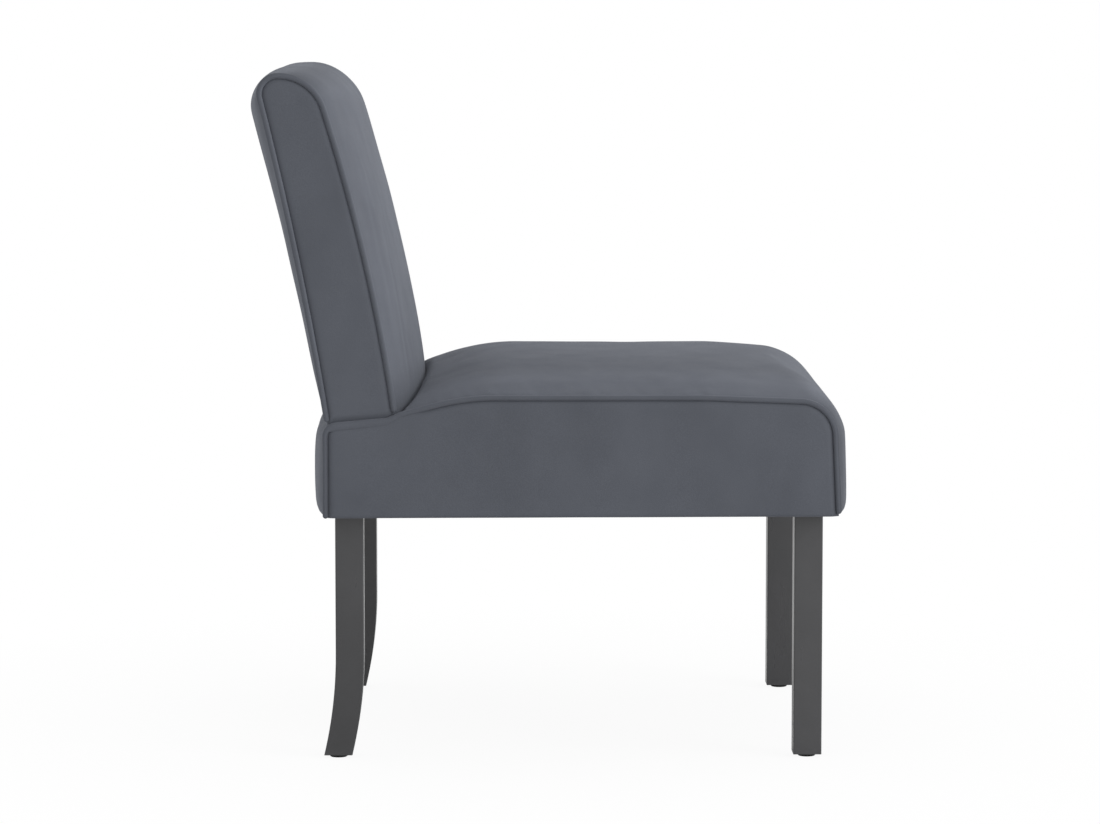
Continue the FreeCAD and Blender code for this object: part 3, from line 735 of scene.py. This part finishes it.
def new_material(name, colour, roughness, metallic=0.0, specular=0.5):
    """A material with its node tree and its shader."""
    material = bpy.data.materials.new(name)
    material.use_nodes = True
    tree = material.node_tree
    shader = tree.nodes["Principled BSDF"]
    shader.inputs["Base Color"].default_value = (*colour, 1)
    shader.inputs["Roughness"].default_value = roughness
    shader.inputs["Metallic"].default_value = metallic
    shader.inputs["Specular IOR Level"].default_value = specular
    return material, tree, shader


def linked(tree, kind, settings=(), **inputs):
    """A new node; inputs are sockets to link or values to set, by socket name."""
    node = tree.nodes.new(kind)
    for key, value in dict(settings).items():
        setattr(node, key, value)
    for key, value in inputs.items():
        socket = node.inputs[key.replace("_", " ")]
        if isinstance(value, bpy.types.NodeSocket):
            tree.links.new(value, socket)
        else:
            socket.default_value = value
    return node


def position(tree, stretch=(1.0, 1.0, 1.0)):
    """Object coordinates in metres, stretched."""
    source = tree.nodes.new("ShaderNodeTexCoord")
    mapping = tree.nodes.new("ShaderNodeMapping")
    mapping.inputs["Scale"].default_value = stretch
    tree.links.new(source.outputs["Object"], mapping.inputs["Vector"])
    return mapping.outputs["Vector"]


def noise(tree, scale, detail=2.0, stretch=(1.0, 1.0, 1.0), roughness=0.5, distortion=0.0):
    """Noise in the piece's own coordinates."""
    node = linked(tree, "ShaderNodeTexNoise", Vector=position(tree, stretch), Scale=scale,
                  Detail=detail, Roughness=roughness, Distortion=distortion)
    return node.outputs["Fac"]


def ranged(tree, value, low, high, from_low=0.3, from_high=0.7):
    """A value carried from one range to another, held at its ends."""
    node = linked(tree, "ShaderNodeMapRange", Value=value, From_Min=from_low, From_Max=from_high,
                  To_Min=low, To_Max=high)
    return node.outputs["Result"]


def tinted(tree, colour, *shares):
    """A colour multiplied by each of these values."""
    result = None
    for share in shares:
        node = tree.nodes.new("ShaderNodeVectorMath")
        node.operation = "SCALE"
        if result is None:
            node.inputs[0].default_value = colour
        else:
            tree.links.new(result, node.inputs[0])
        tree.links.new(share, node.inputs["Scale"])
        result = node.outputs[0]
    return result


def joined(tree, operation, first, second):
    """Two values joined by a sum, a product or the like."""
    node = linked(tree, "ShaderNodeMath", {"operation": operation})
    tree.links.new(first, node.inputs[0])
    tree.links.new(second, node.inputs[1])
    return node.outputs[0]


def bumped(tree, shader, *layers):
    """Bump from (height, strength, distance) layers, the first at the bottom."""
    normal = None
    for height, strength, distance in layers:
        node = linked(tree, "ShaderNodeBump", Height=height, Strength=strength, Distance=distance)
        if normal is not None:
            tree.links.new(normal, node.inputs["Normal"])
        normal = node.outputs["Normal"]
    tree.links.new(normal, shader.inputs["Normal"])


def painted_light_by_facing(tree):
    """Painted light and shade by the way a face turns: painted shade low on forward faces, painted
    light higher up, a painted sheen near the seams on top and painted shade on the back's top.
    """
    normal = linked(tree, "ShaderNodeSeparateXYZ",
                    Vector=tree.nodes.new("ShaderNodeNewGeometry").outputs["Normal"])
    place = linked(tree, "ShaderNodeSeparateXYZ", Vector=position(tree))
    # Painted shade low on forward faces (the seat's front), painted light higher up (the back's front)
    height = ranged(tree, place.outputs["Z"], 0.66, 1.29, *painted_front_light_heights)
    inward = linked(tree, "ShaderNodeMath", {"operation": "ABSOLUTE"})
    tree.links.new(place.outputs["X"], inward.inputs[0])
    # Painted sheen: upward faces lighter near the seams, slightly darker in the middle
    edge = ranged(tree, inward.outputs[0], 0.94, 1.32, *painted_seam_sheen_places)
    # Painted shade on upward faces above the seat (the back's top)
    on_top = ranged(tree, place.outputs["Z"], edge, 0.83, *painted_top_shade_heights)
    forward = ranged(tree, normal.outputs["Y"], 1.0, height, -0.25, -0.75)
    upward = ranged(tree, normal.outputs["Z"], 1.0, on_top, 0.6, 0.9)
    return joined(tree, "MULTIPLY", forward, upward)


def velvet():
    """Short-pile velvet: soft patches where the nap lies differently, fine pile, a faint sheen, and
    painted light and shade by the way each face turns.
    """
    material, tree, shader = new_material("velvet", velvet_colour, 0.85, specular=0.25)
    nap = ranged(tree, noise(tree, 9.0, 3.0, roughness=0.55, distortion=0.5), 0.95, 1.06)
    brushed = ranged(tree, noise(tree, 55.0, 3.0, (1.0, 0.35, 0.25)), 0.965, 1.035)
    pile = ranged(tree, noise(tree, 1500.0, 1.0), 0.90, 1.10)
    weave = noise(tree, 620.0, 2.0, (1.0, 0.5, 0.5))
    # The base colour also carries painted light and shade by the way each face turns
    tree.links.new(tinted(tree, velvet_colour, nap, brushed, pile, painted_light_by_facing(tree)),
                   shader.inputs["Base Color"])
    tree.links.new(ranged(tree, noise(tree, 30.0, 2.0), 0.78, 0.92), shader.inputs["Roughness"])
    bumped(tree, shader, (weave, 0.25, 0.0004), (noise(tree, 1500.0, 1.0), 0.3, 0.0003))
    shader.inputs["Sheen Weight"].default_value = 0.14
    shader.inputs["Sheen Roughness"].default_value = 0.34
    shader.inputs["Sheen Tint"].default_value = velvet_sheen_tint
    return material


def leg_paint():
    """Black satin paint over wood: faint brushed unevenness, a painted highlight along the edges."""
    material, tree, shader = new_material("leg_paint", paint_colour, 0.3)
    edge = tree.nodes.new("ShaderNodeNewGeometry").outputs["Pointiness"]
    # Painted highlight: the colour is lighter along sharp edges, where the satin paint catches the
    # light
    painted_edge_highlight = ranged(tree, edge, 1.0, 1.35, 0.53, 0.62)
    cloudy = ranged(tree, noise(tree, 25.0, 3.0), 0.94, 1.06)
    tree.links.new(tinted(tree, paint_colour, painted_edge_highlight, cloudy), shader.inputs["Base Color"])
    tree.links.new(ranged(tree, noise(tree, 70.0, 3.0, (1.0, 1.0, 0.2)), 0.26, 0.36),
                   shader.inputs["Roughness"])
    bumped(tree, shader, (noise(tree, 160.0, 2.0, (1.0, 1.0, 0.15)), 0.06, 0.0004),
           (noise(tree, 900.0, 1.0), 0.04, 0.0002))
    return material


def grained(name, colour, scale, stretch, depth, roughness, metallic=0.0):
    """Wood, board, cloth, webbing, plastic or metal with its own grain."""
    material, tree, shader = new_material(name, colour, roughness, metallic)
    grain = noise(tree, scale, 4.0, stretch, 0.6)
    tree.links.new(tinted(tree, colour, ranged(tree, grain, 1 - depth, 1 + depth)),
                   shader.inputs["Base Color"])
    tree.links.new(ranged(tree, grain, roughness - 0.07, roughness + 0.07),
                   shader.inputs["Roughness"])
    bumped(tree, shader, (grain, 0.2, 0.0004))
    return material


def paint_over(piece, material):
    """Gives a piece one material."""
    if piece.material_slots:
        for slot in piece.material_slots:
            slot.material = material
    else:
        piece.data.materials.append(material)


made = {}
wraps()
sides()

cloth = velvet()
for piece in made.values():
    paint_over(piece, cloth)
    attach(piece, "root")
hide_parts("seat_cover", "seat_foam", "seat_wadding", "seat_front_pad",
            "seat_rear_pad", "spring_pad")
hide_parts("back_cover", "back_foam", "back_wadding", "back_rear_pad",
            "back_bottom_cloth")
for word in ("left", "right"):
    for part in ("seat", "back"):
        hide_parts("%s_%s_panel" % (part, word),
                    "%s_%s_pad" % (part, word))
        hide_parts("%s_%s_piping" % (part, word))

kept_materials = {
    "leg_paint": leg_paint(),
    "glide_plastic": grained("glide_plastic", (0.012, 0.012, 0.013), 300.0, (1, 1, 1), 0.1, 0.5),
    "dust_cloth": grained("dust_cloth", (0.016, 0.016, 0.018), 700.0, (1, 1, 1), 0.35, 0.9),
    "frame_wood": grained("frame_wood", (0.52, 0.34, 0.18), 40.0, (0.15, 1, 1), 0.25, 0.6),
    "fibreboard": grained("fibreboard", (0.25, 0.15, 0.08), 400.0, (1, 1, 1), 0.2, 0.8),
    "webbing": grained("webbing", (0.30, 0.24, 0.15), 300.0, (0.2, 1, 2), 0.3, 0.85),
    "steel": grained("steel", (0.42, 0.42, 0.43), 200.0, (1, 1, 0.2), 0.1, 0.35, 1.0),
}
kept_nodes = {
    "leg_paint": ("leg_front", "leg_rear"),
    "glide_plastic": ("leg_glides",),
    "dust_cloth": ("dust_cover",),
    "frame_wood": ("seat_front_rail", "seat_rear_rail", "seat_left_rail", "seat_right_rail",
                   "corner_block", "frame_dowels", "back_post", "back_dowels",
                   "back_top_rail", "back_bottom_rail"),
    "fibreboard": ("back_board",),
    "webbing": ("back_webbing",),
    "steel": ("seat_springs", "spring_clips", "clip_nails", "frame_bolt", "leg_bolts",
              "leg_inserts", "glide_nails"),
}
for slot_name, beginnings in kept_nodes.items():
    for name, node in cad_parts.items():
        if name.startswith(beginnings) and not node.hide_render:
            paint_over(node, kept_materials[slot_name])


def camera():
    """The photograph's viewpoint."""
    data = bpy.data.cameras.new("camera")
    data.sensor_width = 36
    data.lens = camera_lens
    data.clip_end = 100
    viewer = bpy.data.objects.new("camera", data)
    bpy.context.scene.collection.objects.link(viewer)
    way = Vector((math.cos(camera_pitch) * math.cos(camera_yaw),
                  -math.cos(camera_pitch) * math.sin(camera_yaw),
                  -math.sin(camera_pitch)))
    viewer.location = camera_place
    viewer.rotation_euler = way.to_track_quat("-Z", "Y").to_euler()
    bpy.context.scene.camera = viewer


def lamp():
    """One wide soft lamp in front of the chair, on the camera's side."""
    data = bpy.data.lights.new("key", "AREA")
    data.shape = "SQUARE"
    data.size = lamp_size
    data.energy = lamp_power
    light = bpy.data.objects.new("key", data)
    bpy.context.scene.collection.objects.link(light)
    light.location = lamp_place
    way = Vector(lamp_target) - Vector(lamp_place)
    light.rotation_euler = way.to_track_quat("-Z", "Y").to_euler()


def surroundings():
    """White studio: the camera and reflections see plain white, and the chair gets an even light."""
    world = bpy.data.worlds.new("studio")
    bpy.context.scene.world = world
    world.use_nodes = True
    tree = world.node_tree
    background = tree.nodes["Background"]
    background.inputs["Color"].default_value = (1, 1, 1, 1)
    path = tree.nodes.new("ShaderNodeLightPath")
    seen = path.outputs["Is Camera Ray"]
    for ray in ("Is Glossy Ray", "Is Transmission Ray"):
        seen = joined(tree, "MAXIMUM", seen, path.outputs[ray])
    strength = ranged(tree, seen, ambient, 1.0, 0.0, 1.0)
    tree.links.new(strength, background.inputs["Strength"])


def floor():
    """A plain floor, white to the camera further out, that keeps a soft shadow under the chair."""
    half = floor_half
    corners = [(-half, -half, 0), (half, -half, 0), (half, half, 0), (-half, half, 0)]
    plane = mesh_piece("floor", corners, [(0, 1, 2, 3)])
    material, tree, shader = new_material("floor", (0.9, 0.9, 0.9), 0.9, specular=0.1)
    white = linked(tree, "ShaderNodeEmission", Color=(1, 1, 1, 1), Strength=1.0)
    camera_ray = tree.nodes.new("ShaderNodeLightPath").outputs["Is Camera Ray"]
    away = linked(tree, "ShaderNodeVectorMath", {"operation": "LENGTH"})
    tree.links.new(position(tree), away.inputs[0])
    paleness = ranged(tree, away.outputs["Value"], 0.92, 1.0, 0.25, 0.9)
    share = joined(tree, "MULTIPLY", camera_ray, paleness)
    mix = linked(tree, "ShaderNodeMixShader", Fac=share)
    tree.links.new(shader.outputs[0], mix.inputs[1])
    tree.links.new(white.outputs[0], mix.inputs[2])
    tree.links.new(mix.outputs[0], tree.nodes["Material Output"].inputs["Surface"])
    plane.data.materials.append(material)


camera()
surroundings()
floor()
lamp()
bpy.context.scene.view_settings.view_transform = "Standard"
